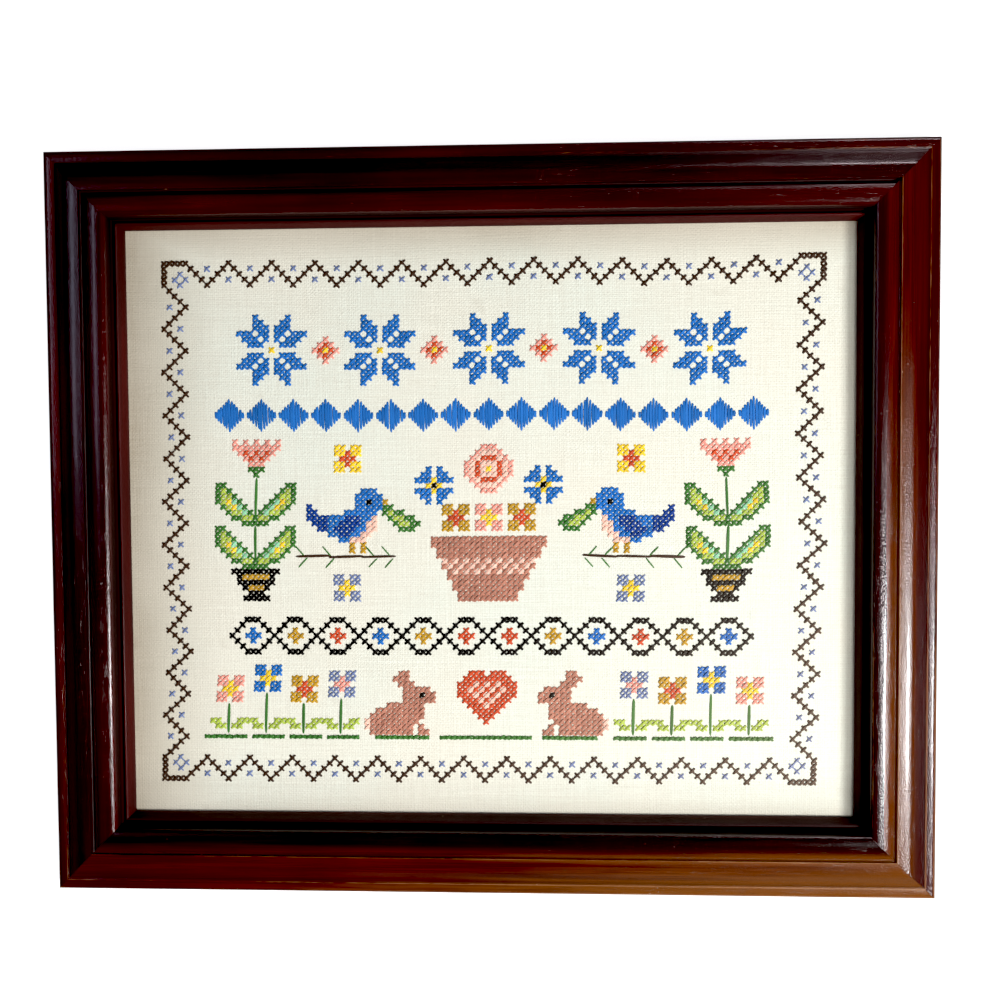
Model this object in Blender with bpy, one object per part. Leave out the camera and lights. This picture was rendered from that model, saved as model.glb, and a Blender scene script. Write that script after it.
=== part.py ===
# A cross stitch picture in a mitred wooden frame, lying on its back.
# Metres, +Z up out of the picture's face, +Y towards the picture's top edge.
# Origin at the middle of the frame's flat back.

from math import pi, sqrt

import bmesh
import bpy
from mathutils import Matrix, Vector
from mathutils.geometry import interpolate_bezier

# Driving dimensions
FRAME_WIDTH = 0.4120       # outside, along X
FRAME_HEIGHT = 0.3480      # outside, along Y
RAIL_WIDTH = 0.0366        # moulding, outer edge to sight edge
SIDE_HEIGHT = 0.0115       # upright outer side, before the outer bead
SIGHT_HEIGHT = 0.0106      # top of the sight edge, nearest the cloth
RABBET_WIDTH = 0.0062      # step cut into the back under the lip
RABBET_DEPTH = 0.0076
GAP = 0.0003               # between neighbouring pieces

# Sheet goods in the rabbet
CLOTH_THICKNESS = 0.0010
BOARD_THICKNESS = 0.0030
BOARD_EDGE_BEVEL = 0.0004
EDGE_CLEARANCE = 0.0003    # from a sheet's edge to the rabbet wall

# Steps along each curved stretch of the moulding's section
CURVE_STEPS = 7
CREASE_ANGLE = 0.6         # radians; sharper turns of the section stay crisp
MM = 0.001


def clear_scene():
    for old in list(bpy.data.objects):
        bpy.data.objects.remove(old, do_unlink=True)


def make_material(name, colour, roughness, metallic=0.0):
    material = bpy.data.materials.new(name)
    material.use_nodes = True
    shader = material.node_tree.nodes["Principled BSDF"]
    shader.inputs["Base Color"].default_value = (*colour, 1.0)
    shader.inputs["Roughness"].default_value = roughness
    shader.inputs["Metallic"].default_value = metallic
    return material


def curve(start, pull_start, pull_end, end):
    """Points on one Bezier stretch of the section, in millimetres, without its last point."""
    knots = [Vector((*point, 0.0)) for point in (start, pull_start, pull_end, end)]
    points = interpolate_bezier(*knots, CURVE_STEPS + 1)
    return [(point.x * MM, point.y * MM) for point in points[:-1]]


def moulding_section():
    """The moulding cut across: (distance in from the outer edge, height above the back)."""
    side = SIDE_HEIGHT / MM
    rabbet_wall = RAIL_WIDTH - RABBET_WIDTH
    outer_bead = curve((0.0, side), (0.0, side + 1.9), (0.9, 15.0), (2.6, 15.1))
    bead_fall = curve((2.6, 15.1), (4.0, 15.2), (5.2, 15.1), (5.8, 14.8))
    ogee = curve((5.8, 14.8), (7.8, 16.5), (11.2, 21.2), (13.2, 22.2))
    crown = curve((13.2, 22.2), (14.2, 22.7), (16.0, 23.1), (19.4, 23.1))
    quirk = curve((19.4, 23.1), (19.5, 21.2), (20.2, 20.8), (21.0, 21.4))
    inner_bead = curve((21.0, 21.4), (22.4, 22.9), (25.0, 24.1), (27.8, 24.1))
    bead_fall_in = curve((27.8, 24.1), (30.6, 24.1), (31.9, 22.8), (32.0, 19.8))
    foot = curve((32.0, 19.8), (32.0, 18.0), (32.1, 17.0), (32.5, 16.7))
    band = [(32.5 * MM, 16.7 * MM), (32.9 * MM, 16.4 * MM)]
    fine_quirk = [(33.2 * MM, 15.1 * MM)]
    fine_bead = curve((33.5, 15.2), (33.8, 16.3), (35.0, 16.3), (35.3, 14.9))
    sight_edge = [
        (35.3 * MM, 14.9 * MM),
        (RAIL_WIDTH - 0.3 * MM, SIGHT_HEIGHT + 0.8 * MM),
        (RAIL_WIDTH, SIGHT_HEIGHT),
    ]
    rabbet = [
        (RAIL_WIDTH, RABBET_DEPTH),
        (rabbet_wall, RABBET_DEPTH),
        (rabbet_wall, 0.0),
    ]
    outer_part = outer_bead + bead_fall + ogee + crown
    inner_part = quirk + inner_bead + bead_fall_in + foot + band
    return [(0.0, 0.0)] + outer_part + inner_part + fine_quirk + fine_bead + sight_edge + rabbet


def make_rail(name, length, turn, offset, material):
    """One rail: the section swept along X with both ends mitred, then turned into place."""
    mesh = bpy.data.meshes.new(name)
    bm = bmesh.new()
    section = moulding_section()
    mitre_gap = GAP / 2 * sqrt(2)
    loops = []
    for end in (-1, 1):
        ring = []
        for inward, height in section:
            along = end * (length / 2 - inward - mitre_gap)
            ring.append(bm.verts.new((along, inward, height)))
        edges = [bm.edges.new((ring[i - 1], ring[i])) for i in range(len(ring))]
        loops.append(edges)
        bm.faces.new(ring)
    bmesh.ops.bridge_loops(bm, edges=loops[0] + loops[1])
    bmesh.ops.triangulate(bm, faces=[face for face in bm.faces if len(face.verts) > 4])
    bmesh.ops.recalc_face_normals(bm, faces=bm.faces)
    bm.to_mesh(mesh)
    bm.free()
    mesh.shade_smooth()
    mesh.set_sharp_from_angle(angle=CREASE_ANGLE)
    mesh.materials.append(material)
    rail = bpy.data.objects.new(name, mesh)
    bpy.context.scene.collection.objects.link(rail)
    # The outer edge of a rail lies at y = 0 before it is moved out by offset
    rail.matrix_world = Matrix.Rotation(turn, 4, "Z") @ Matrix.Translation((0.0, -offset, 0.0))
    return rail


def make_sheet(name, top, thickness, material, bevel=0.0):
    """A flat rectangle that fits the rabbet, its front face at height top."""
    width = FRAME_WIDTH - 2 * (RAIL_WIDTH - RABBET_WIDTH + EDGE_CLEARANCE)
    height = FRAME_HEIGHT - 2 * (RAIL_WIDTH - RABBET_WIDTH + EDGE_CLEARANCE)
    mesh = bpy.data.meshes.new(name)
    bm = bmesh.new()
    shape = Matrix.Diagonal((width, height, 1.0, 1.0))
    bmesh.ops.create_grid(bm, x_segments=1, y_segments=1, size=0.5, matrix=shape)
    bm.to_mesh(mesh)
    bm.free()
    mesh.materials.append(material)
    sheet = bpy.data.objects.new(name, mesh)
    bpy.context.scene.collection.objects.link(sheet)
    sheet.location = (0.0, 0.0, top)
    solidify = sheet.modifiers.new("thickness", "SOLIDIFY")
    solidify.thickness = thickness
    solidify.offset = -1.0
    if bevel:
        rounding = sheet.modifiers.new("eased edges", "BEVEL")
        rounding.width = bevel
        rounding.segments = 2
    return sheet


def make_frame():
    wood = make_material("dark mahogany", (0.030, 0.004, 0.003), 0.22)
    sides = (
        ("bottom_rail", FRAME_WIDTH, 0, FRAME_HEIGHT / 2),
        ("right_rail", FRAME_HEIGHT, 1, FRAME_WIDTH / 2),
        ("top_rail", FRAME_WIDTH, 2, FRAME_HEIGHT / 2),
        ("left_rail", FRAME_HEIGHT, 3, FRAME_WIDTH / 2),
    )
    for name, length, quarters, offset in sides:
        make_rail(name, length, quarters * pi / 2, offset, wood)


def make_cloth():
    linen = make_material("ivory linen", (0.72, 0.68, 0.55), 0.9)
    make_sheet("cloth", RABBET_DEPTH - GAP, CLOTH_THICKNESS, linen)


def make_backing_board():
    board = make_material("brown board", (0.24, 0.15, 0.08), 0.8)
    top = RABBET_DEPTH - GAP - CLOTH_THICKNESS - GAP
    make_sheet("backing_board", top, BOARD_THICKNESS, board, BOARD_EDGE_BEVEL)


clear_scene()
make_frame()
make_cloth()
make_backing_board()
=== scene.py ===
# %% [markdown]
# # A cross stitch sampler in a mahogany frame
# The picture is linen, stretched over a board and held in the rabbet of a mitred moulding.
# The solid model gives every size and place. This lesson dresses it: a finely shaped
# moulding with a worn lacquer, a woven cloth, and every stitch as real thread.

# %% Load the solid model
import random
from math import ceil, exp, pi, radians, sqrt

import bpy
import numpy as np
from mathutils import Euler, Matrix, Vector, noise
from mathutils.geometry import interpolate_bezier


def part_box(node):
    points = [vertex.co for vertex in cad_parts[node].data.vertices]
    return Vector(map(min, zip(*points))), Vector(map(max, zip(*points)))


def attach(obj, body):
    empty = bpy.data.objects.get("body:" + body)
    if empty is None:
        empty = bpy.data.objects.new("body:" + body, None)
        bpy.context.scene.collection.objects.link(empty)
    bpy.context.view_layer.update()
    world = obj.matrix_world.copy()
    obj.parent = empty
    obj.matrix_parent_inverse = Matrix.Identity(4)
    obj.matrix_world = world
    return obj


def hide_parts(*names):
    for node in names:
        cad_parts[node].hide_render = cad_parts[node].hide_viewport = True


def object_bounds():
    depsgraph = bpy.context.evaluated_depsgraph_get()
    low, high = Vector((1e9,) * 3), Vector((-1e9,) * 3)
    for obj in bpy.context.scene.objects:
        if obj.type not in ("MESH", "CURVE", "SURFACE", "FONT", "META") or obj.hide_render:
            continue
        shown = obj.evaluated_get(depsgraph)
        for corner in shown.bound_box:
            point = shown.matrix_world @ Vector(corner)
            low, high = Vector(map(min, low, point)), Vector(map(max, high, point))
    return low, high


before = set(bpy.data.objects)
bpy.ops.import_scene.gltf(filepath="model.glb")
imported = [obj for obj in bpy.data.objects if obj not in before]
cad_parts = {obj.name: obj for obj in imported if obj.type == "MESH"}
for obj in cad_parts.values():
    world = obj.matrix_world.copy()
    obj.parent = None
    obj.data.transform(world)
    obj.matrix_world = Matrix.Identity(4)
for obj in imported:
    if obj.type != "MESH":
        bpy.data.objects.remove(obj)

CAD_LOW, CAD_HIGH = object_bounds()
MM = 0.001
print("solid model:", [round(v / MM, 1) for v in CAD_HIGH - CAD_LOW], "mm")

# %% [markdown]
# Every measure that follows comes from the solids. The rail's width is read from the left
# rail, the height of the cloth's face from the cloth, and the opening is what the rails leave.

# %% Read the sizes of the frame and the cloth
FRAME_WIDTH = CAD_HIGH.x - CAD_LOW.x
FRAME_HEIGHT = CAD_HIGH.y - CAD_LOW.y
RAIL_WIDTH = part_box("left_rail")[1].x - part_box("left_rail")[0].x
CLOTH_LOW, CLOTH_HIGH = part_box("cloth")
CLOTH_TOP = CLOTH_HIGH.z
OPENING_HALF_X = FRAME_WIDTH / 2 - RAIL_WIDTH
OPENING_HALF_Y = FRAME_HEIGHT / 2 - RAIL_WIDTH
print("opening:", round(2 * OPENING_HALF_X / MM, 1), "x", round(2 * OPENING_HALF_Y / MM, 1), "mm")

# %% [markdown]
# Effects that several finishes share are shader node groups, like jigs in a workshop: built
# once, then set up with other values in each material. Small helpers fill a node's inputs in
# one line, do sums, and make an empty group with named sockets.

# %% Helpers for node groups and materials
def set_inputs(tree, node, **inputs):
    """Fills inputs, named with _ for a space, or in_ and a position. Sockets are linked."""
    for key, value in inputs.items():
        position = int(key[3:]) if key.startswith("in_") else key.replace("_", " ")
        socket = node.inputs[position]
        if isinstance(value, bpy.types.NodeSocket):
            tree.links.new(value, socket)
        else:
            socket.default_value = value


def add_node(tree, kind, settings=None, **inputs):
    node = tree.nodes.new(kind)
    for key, value in (settings or {}).items():
        setattr(node, key, value)
    set_inputs(tree, node, **inputs)
    return node


def math_node(tree, operation, first, second=0.0, third=0.0, clamp=False):
    settings = {"operation": operation, "use_clamp": clamp}
    return add_node(tree, "ShaderNodeMath", settings, in_0=first, in_1=second, in_2=third).outputs[0]


def times(tree, first, second, clamp=False):
    return math_node(tree, "MULTIPLY", first, second, clamp=clamp)


def times_plus(tree, value, gain, offset, clamp=False):
    return math_node(tree, "MULTIPLY_ADD", value, gain, offset, clamp)


def remap(tree, value, low, high, new_low=0.0, new_high=1.0):
    node = add_node(tree, "ShaderNodeMapRange", {"interpolation_type": "SMOOTHSTEP"}, Value=value,
                    From_Min=low, From_Max=high, To_Min=new_low, To_Max=new_high)
    return node.outputs[0]


def mix_colour(tree, amount, first, second):
    settings = {"data_type": "RGBA"}
    return add_node(tree, "ShaderNodeMix", settings, in_0=amount, in_6=first, in_7=second).outputs[2]


def layered(tree, colour, *layers):
    """Lays colours over a first one. A layer is an amount, the share of it to use and a colour."""
    for amount, share, other in layers:
        colour = mix_colour(tree, times(tree, amount, share), colour, other)
    return colour


def noise_at(tree, vector, scale, stretch=(1, 1, 1), detail=2.0, distortion=0.0):
    """Noise over a vector that is in metres; scale is features to the metre."""
    mapping = add_node(tree, "ShaderNodeMapping", Vector=vector, Scale=stretch)
    node = add_node(tree, "ShaderNodeTexNoise", Vector=mapping.outputs[0],
                    Scale=scale, Detail=detail, Distortion=distortion)
    return node.outputs["Fac"]


def new_group(name, values, results):
    """An empty group that takes a Vector and named values, with its two ends."""
    group = bpy.data.node_groups.new(name, "ShaderNodeTree")
    group.interface.new_socket(name="Vector", in_out="INPUT", socket_type="NodeSocketVector")
    for label, value in values.items():
        socket = group.interface.new_socket(name=label, in_out="INPUT", socket_type="NodeSocketFloat")
        socket.default_value = value
    for label in results:
        group.interface.new_socket(name=label, in_out="OUTPUT", socket_type="NodeSocketFloat")
    given = group.nodes.new("NodeGroupInput")
    return group, given.outputs, group.nodes.new("NodeGroupOutput")


def use_group(tree, group, **inputs):
    return add_node(tree, "ShaderNodeGroup", {"node_tree": group}, **inputs).outputs


def new_material(name):
    """A material, its node tree, its shader and the place on the piece, in metres."""
    material = bpy.data.materials.new(name)
    material.use_nodes = True
    tree = material.node_tree
    spot = add_node(tree, "ShaderNodeTexCoord").outputs["Object"]
    return material, tree, tree.nodes["Principled BSDF"], spot


def bump_from(tree, height, strength, distance):
    return add_node(tree, "ShaderNodeBump", Strength=strength, Distance=distance, Height=height).outputs[0]


print("helpers ready")

# %% [markdown]
# ## Shared effects
# Wood grain is noise stretched a long way down the rail. Fine dark pores are the same noise,
# stretched more and cut off hard. The vector runs along the rail in X and across it in Y.

# %% The grain group
def make_grain_group():
    group, given, result = new_group("wood grain", {"Streaks": 1.0, "Pores": 1.0},
                                     ("Figure", "Pore", "Height"))
    vector = given["Vector"]
    broad = noise_at(group, vector, 260, (0.035, 1, 1), 3.0, 0.6)
    narrow = noise_at(group, vector, 1300, (0.02, 1, 1), 3.0)
    both = math_node(group, "ADD", times(group, broad, 0.62), times(group, narrow, 0.38))
    contrast = remap(group, both, 0.40, 0.62)
    figure = times(group, contrast, given["Streaks"], clamp=True)
    fine = noise_at(group, vector, 3200, (0.03, 1, 1), 1.0)
    pore = times(group, remap(group, fine, 0.60, 0.72), given["Pores"])
    height = math_node(group, "SUBTRACT", times(group, both, 0.5), pore)
    set_inputs(group, result, Figure=figure, Pore=pore, Height=height)
    return group


GRAIN = make_grain_group()
print("group:", GRAIN.name)

# %% [markdown]
# Wear shows first where hands and dusters touch: on the sharp edges. The mesh brings a mask
# that is 1 on each such edge, and this group breaks it into patches, short rubs and nicks.

# %% The edge wear group
def make_wear_group():
    group, given, result = new_group("edge wear", {"Edge": 0.0, "Amount": 0.5}, ("Rubbed", "Nicked"))
    vector, edge = given["Vector"], given["Edge"]
    patches = noise_at(group, vector, 45, (0.40, 1, 1), 3.0)
    ragged = noise_at(group, vector, 1500, (0.10, 1, 1), 3.0)
    broken = math_node(group, "ADD", times(group, patches, 0.6), times(group, ragged, 0.4))
    threshold = math_node(group, "SUBTRACT", 0.66, times(group, given["Amount"], 0.40))
    over = math_node(group, "SUBTRACT", times(group, broken, edge), threshold)
    rubbed = times(group, over, 8.0, clamp=True)
    specks = noise_at(group, vector, 540, (0.45, 1, 1), 1.0)
    on_edge = remap(group, edge, 0.35, 0.75)
    nicked = times(group, remap(group, specks, 0.765, 0.785), on_edge, clamp=True)
    set_inputs(group, result, Rubbed=rubbed, Nicked=nicked)
    return group


WEAR = make_wear_group()
print("group:", WEAR.name)

# %% [markdown]
# Nothing old is one even colour. This group gives soft clouds, for faded lacquer, yellowed
# cloth and thread that took the dye unevenly, and sparse specks nine times finer.

# %% The mottling group
def make_mottle_group():
    group, given, result = new_group("mottling", {"Scale": 20.0}, ("Cloud", "Speck"))
    vector, scale = given["Vector"], given["Scale"]
    broad = add_node(group, "ShaderNodeTexNoise", Vector=vector, Scale=scale, Detail=4.0)
    fine_scale = times(group, scale, 9.0)
    fine = add_node(group, "ShaderNodeTexNoise", Vector=vector, Scale=fine_scale, Detail=1.0)
    cloud = remap(group, broad.outputs["Fac"], 0.32, 0.68)
    speck = remap(group, fine.outputs["Fac"], 0.70, 0.80)
    set_inputs(group, result, Cloud=cloud, Speck=speck)
    return group


MOTTLE = make_mottle_group()
print("group:", MOTTLE.name)

# %% [markdown]
# Plain weave is one thread over, one under, in both directions. Two sets of waves cross: one
# set's crests are the warp, the other's the weft, and a chequer of the two picks which lies on
# top. Handspun looking yarn swells and thins, so long noise bends the waves and adds slubs.

# %% The weave group
def make_weave_group():
    group, given, result = new_group("plain weave", {"Threads per metre": 2000.0, "Unevenness": 0.3},
                                     ("Height", "Slub", "Hole"))
    vector = given["Vector"]
    parts = add_node(group, "ShaderNodeSeparateXYZ", Vector=vector)
    half_turns = times(group, given["Threads per metre"], pi)
    waves = []
    for axis, stretch in (("X", (1, 0.04, 1)), ("Y", (0.04, 1, 1))):
        drift = noise_at(group, vector, 420, stretch)
        bend = times(group, math_node(group, "SUBTRACT", drift, 0.5), given["Unevenness"])
        turn = times_plus(group, parts.outputs[axis], half_turns, times(group, bend, 14.0))
        waves.append(math_node(group, "SINE", turn))
    warp, weft = [math_node(group, "ABSOLUTE", wave) for wave in waves]
    over = times(group, *waves)
    crests = times(group, math_node(group, "ADD", warp, weft), 0.5)
    height = math_node(group, "ADD", crests, times(group, over, 0.35))
    hole = math_node(group, "SUBTRACT", 1.0, math_node(group, "MAXIMUM", warp, weft), clamp=True)
    yarns = [remap(group, noise_at(group, vector, 850, stretch), 0.25, 0.75)
             for stretch in ((0.06, 1, 1), (1, 0.06, 1))]
    lint = remap(group, noise_at(group, vector, 1000, detail=1.0), 0.2, 0.8)
    slub = times_plus(group, math_node(group, "ADD", *yarns), 0.30, times(group, lint, 0.40))
    lifted = times_plus(group, slub, 0.7, height)
    set_inputs(group, result, Height=lifted, Slub=slub, Hole=hole)
    return group


WEAVE = make_weave_group()
print("group:", WEAVE.name)

# %% [markdown]
# Cotton floss is many fine fibres laid side by side with a slow twist. Along each leg of a
# stitch the fibres show as fine lines, so this group draws waves across the strand, slanted
# by the twist. The vector is the strand's own: across it in X, along it in Y.

# %% The fibre group
def make_fibre_group():
    group, given, result = new_group("thread fibres", {"Twist": 0.5}, ("Height", "Shade"))
    vector = given["Vector"]
    parts = add_node(group, "ShaderNodeSeparateXYZ", Vector=vector)
    across = times(group, parts.outputs["X"], 34.0)
    slant = times(group, parts.outputs["Y"], times(group, given["Twist"], 9.0))
    line = math_node(group, "SINE", math_node(group, "ADD", across, slant))
    loose = add_node(group, "ShaderNodeTexNoise", Vector=vector, Scale=5.0, Detail=2.0)
    height = times_plus(group, line, 0.35, loose.outputs["Fac"])
    set_inputs(group, result, Height=height, Shade=remap(group, height, 0.1, 0.9))
    return group


FIBRES = make_fibre_group()
print("group:", FIBRES.name)

# %% [markdown]
# ## The moulding
# A frame maker buys moulding by the length, cut to a pattern of beads and hollows, and saws
# four mitred rails from it. The solid model has the same pattern with few steps. Gloss shows
# every facet, so here the section is drawn again with more steps and swept along each rail.
# The stretches have a frame maker's names and run from the outer edge to the cloth.

# %% Draw the section of the moulding
SECTION_STEPS = 10
SIDE_HEIGHT = 11.5
SIGHT_HEIGHT = 10.6
RABBET_WIDTH = 6.2
RABBET_DEPTH = 7.6
SECTION_CURVES = {
    "outer bead": ((0.0, SIDE_HEIGHT), (0.0, SIDE_HEIGHT + 1.9), (0.9, 15.0), (2.6, 15.1)),
    "bead fall": ((2.6, 15.1), (4.0, 15.2), (5.2, 15.1), (5.8, 14.8)),
    "ogee": ((5.8, 14.8), (7.8, 16.5), (11.2, 21.2), (13.2, 22.2)),
    "crown": ((13.2, 22.2), (14.2, 22.7), (16.0, 23.1), (19.4, 23.1)),
    "quirk": ((19.4, 23.1), (19.5, 21.2), (20.2, 20.8), (21.0, 21.4)),
    "inner bead": ((21.0, 21.4), (22.4, 22.9), (25.0, 24.1), (27.8, 24.1)),
    "inner fall": ((27.8, 24.1), (30.6, 24.1), (31.9, 22.8), (32.0, 19.8)),
    "foot": ((32.0, 19.8), (32.0, 18.0), (32.1, 17.0), (32.5, 16.7)),
    "fine bead": ((33.5, 15.2), (33.8, 16.3), (35.0, 16.3), (35.3, 14.9)),
}
FINE_QUIRK = [(32.9, 16.4), (33.2, 15.1)]


def curve_points(name):
    knots = [Vector((*point, 0.0)) for point in SECTION_CURVES[name]]
    return [(p.x, p.y) for p in interpolate_bezier(*knots, SECTION_STEPS + 1)]


def section_points():
    """The section in millimetres: distance in from the outer edge, height above the back."""
    rail = RAIL_WIDTH / MM
    points = [(0.0, 0.0), (0.0, SIDE_HEIGHT / 2)]
    *wide_stretches, fine_bead = SECTION_CURVES
    for name in wide_stretches:
        points += [p for p in curve_points(name) if p != points[-1]]
    points += FINE_QUIRK + curve_points(fine_bead)
    points += [(rail - 0.8, SIGHT_HEIGHT + 2.5), (rail - 0.3, SIGHT_HEIGHT + 0.8), (rail, SIGHT_HEIGHT)]
    points += [(rail, RABBET_DEPTH), (rail - RABBET_WIDTH, RABBET_DEPTH), (rail - RABBET_WIDTH, 0.0)]
    return points


SECTION = section_points()
print("section points:", len(SECTION))

# %% [markdown]
# Six masks ride on the section. The edge mask peaks where the moulding is sharp and proud,
# the groove mask where dust and polish collect, and it also darkens the grooves with painted
# shade. The polish mask tells the glossy face from the dull lip beside the cloth and from the
# raw back. Two sun masks say which parts faded and where painted light from the window
# lightens the stain. The painted shade mask blackens the parts of each rail that stay in
# shadow. All but the polish differ from rail to rail.

# %% Find the edges that wear and the grooves that gather dirt
# Place in from the outer edge and width, in millimetres, then strength
WORN_EDGES = {"outer shoulder": (1.0, 0.7, 1.0), "outer bead": (4.9, 0.5, 1.05),
              "crown lip": (19.25, 0.58, 1.35), "inner bead": (27.2, 1.6, 0.50),
              "bead shoulder": (30.7, 0.5, 1.1), "fine bead": (34.4, 0.5, 0.45),
              "sight edge": (36.2, 0.6, 0.6)}
UNEVEN_WEAR = {"crown lip": {"right": 1.0, "top": 0.8, "bottom": 0.74, "left": 0.4},
               "bead shoulder": {"right": 0.8}}
# Grooves darkened by dirt and by painted shade; the crown quirk's painted shade differs from rail to rail
GROOVES_DIRT_AND_SHADE = [(6.2, 0.9, 0.35), (32.2, 0.6, 0.9), (33.2, 0.45, 1.0)]
CROWN_QUIRK_DIRT_AND_SHADE = {"left": (20.3, 0.7, 0.7), "top": (21.1, 1.4, 1.0),
               "bottom": (20.3, 0.5, 0.1), "right": (20.3, 0.5, 0.1)}
# Painted shade: place in from the outer edge, then how black the painted shade makes it there
RAIL_PAINTED_SHADE = {
    "left": ((0, 0.5), (4, 0.15), (9, 0.15), (13, 0.68), (19, 0.68), (21, 0.5), (29, 0.5), (31, 0.15)),
    "top": ((0, 0.28), (5, 0.4), (8, 0.55), (19, 0.55), (20.6, 0.17), (26, 0.2), (29, 0.34), (34, 0.2)),
    "bottom": ((21.5, 0.0), (24, 0.5), (26, 0.8), (33, 0.8), (36.6, 0.65)),
    "right": ((0, 0.17), (9, 0.17), (12, 0.0), (25, 0.0), (26.8, 0.48), (31, 0.6)),
}
# Sun fading and painted window light: place in, how far along the rail they reach, how much they lighten
# the stain
SUN_FADE_AND_LIGHT = {
    "bottom": ((0, 0.75, 1.0), (6, 0.65, 1.0), (12, 0.42, 0.9), (17.5, 0.25, 0.7),
               (19.6, 0.72, 1.0), (22, 0.45, 0.8), (25, 0.1, 0.0)),
    "right": ((0, 0.4, 0.0), (9, 0.4, 0.0), (12, 0.75, 0.35), (18, 0.95, 0.65),
              (23, 0.95, 0.5), (26, 0.6, 0.0)),
}
SHADED = ((0, 0.0, 0.0),)
POLISH = ((0.6, 0.1), (1.4, 1.0), (31.2, 1.0), (32.0, 0.35), (34.8, 0.35), (35.3, 0.07))
RAW_WOOD_POLISH = 0.05
INWARD, HEIGHT = np.array(SECTION).T
ON_FACE = HEIGHT > SIGHT_HEIGHT - 0.1


def highest_hump(humps):
    """Each hump is a place, a width and a strength. The highest counts at every point."""
    return np.max([top * np.exp(-((INWARD - at) / width) ** 2) for at, width, top in humps], axis=0)


def rail_masks(side):
    """The masks of one rail, at every point of its section."""
    worn = []
    for label, (at, width, strength) in WORN_EDGES.items():
        share = UNEVEN_WEAR[label].get(side, 0.0) if label in UNEVEN_WEAR else 1.0
        worn.append((at, width, share * strength))
    places, reach, fading = zip(*SUN_FADE_AND_LIGHT.get(side, SHADED))
    masks = {"edge": highest_hump(worn), "groove": highest_hump([*GROOVES_DIRT_AND_SHADE, CROWN_QUIRK_DIRT_AND_SHADE[side]]),
             "soot": np.interp(INWARD, *zip(*RAIL_PAINTED_SHADE[side])),
             "sun reach": np.interp(INWARD, places, reach), "fading": np.interp(INWARD, places, fading)}
    masks = {label: values * ON_FACE for label, values in masks.items()}
    polish = np.interp(INWARD, *zip(*POLISH))
    masks["polish"] = np.where(ON_FACE | (INWARD <= 1), polish, RAW_WOOD_POLISH)
    return masks


print("worn edges:", len(WORN_EDGES), "grooves:", len(GROOVES_DIRT_AND_SHADE) + 1)

# %% [markdown]
# Each rail is a strip of rings, one ring for every few millimetres, with the two end rings
# slanted to the mitre. Old lacquer over hand sanded wood is never dead flat: a slow noise
# moves the face by a few hundredths of a millimetre, so highlights waver along the rail.
# The mesh also carries its own grain direction as a UV map, in metres.

# %% Sweep one rail
RING_SPACING = 6 * MM
MITRE_GAP = 0.08 * MM
LACQUER_WAVER = 0.055 * MM
RAIL_CREASE = radians(38)


def waver(along, inward, seed):
    slow = noise.noise(Vector((along / (28 * MM), inward / 5.0, seed)))
    quick = noise.noise(Vector((along / (11 * MM), inward / 2.6, seed + 50)))
    return LACQUER_WAVER * (slow + 0.45 * quick)


def section_normals():
    run, rise = (np.roll(SECTION, -1, axis=0) - np.roll(SECTION, 1, axis=0)).T
    return np.stack((-rise, run), axis=1) / np.sqrt(run * run + rise * rise)[:, None]


def sweep_rail(side, length, quarters, outward):
    """One rail as a closed mesh. It is made along X with its outer edge down, then turned."""
    normals = section_normals()
    seed = quarters + 1.0
    rings = ceil(length / RING_SPACING) + 1
    turn = Matrix.Rotation(quarters * pi / 2, 4, "Z") @ Matrix.Translation((0.0, -outward, 0.0))
    places, grain = [], []
    for ring in range(rings):
        share = 2 * ring / (rings - 1) - 1
        across = 0.0
        for i, (inward, height) in enumerate(SECTION):
            along = share * (length / 2 - inward * MM - MITRE_GAP / sqrt(2))
            move = waver(along, inward, seed) if height > SIGHT_HEIGHT else 0.0
            step_in, step_up = normals[i][0] * move, normals[i][1] * move
            places.append(turn @ Vector((along, max(inward * MM + step_in, 0.0), height * MM + step_up)))
            if i:
                across += sqrt((inward - SECTION[i - 1][0]) ** 2 + (height - SECTION[i - 1][1]) ** 2) * MM
            grain.append((along + seed, across + seed))
    count = len(SECTION)
    faces = [tuple(range(count)), tuple((rings - 1) * count + i for i in reversed(range(count)))]
    for ring in range(rings - 1):
        for i in range(count):
            here, there = ring * count + i, ring * count + (i + 1) % count
            faces.append((here, here + count, there + count, there))
    mesh = bpy.data.meshes.new(f"{side}_moulding")
    mesh.from_pydata(places, [], faces)
    layer = mesh.uv_layers.new(name="grain")
    for loop in mesh.loops:
        layer.data[loop.index].uv = grain[loop.vertex_index]
    for label, values in rail_masks(side).items():
        mask = mesh.attributes.new(label, "FLOAT", "POINT")
        mask.data.foreach_set("value", np.tile(values, rings))
    return link_piece(mesh.name, mesh, RAIL_CREASE)


def link_piece(name, data, crease=None):
    """Puts a mesh, lamp or camera in the scene. A crease angle keeps sharper edges crisp."""
    if crease:
        data.shade_smooth()
        data.set_sharp_from_angle(angle=crease)
    piece = bpy.data.objects.new(name, data)
    bpy.context.scene.collection.objects.link(piece)
    return piece


print("ring spacing:", RING_SPACING / MM, "mm")

# %% [markdown]
# The finish is a red mahogany stain, nearly black where it pooled, under clear lacquer.
# Painted shade makes it nearly black, too, on the parts of each rail that stay in shadow.
# Daylight has faded it towards orange brown on the lower right, and painted light from the
# window lightens that corner as well. Rubbed edges show pale wood.
# Thin lacquer sinks into the grain, so fine streaks in the bump spread each highlight across
# the rail and break its edges, while along the rail it stays short.

# %% The worn mahogany finish
STAIN_DARK = (0.022, 0.0020, 0.0020, 1)
STAIN_RED = (0.082, 0.0050, 0.0046, 1)
# Faded stain, and painted light from the window on the lower right
FADED_AND_LIT_STAIN = (0.185, 0.066, 0.017, 1)
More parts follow.
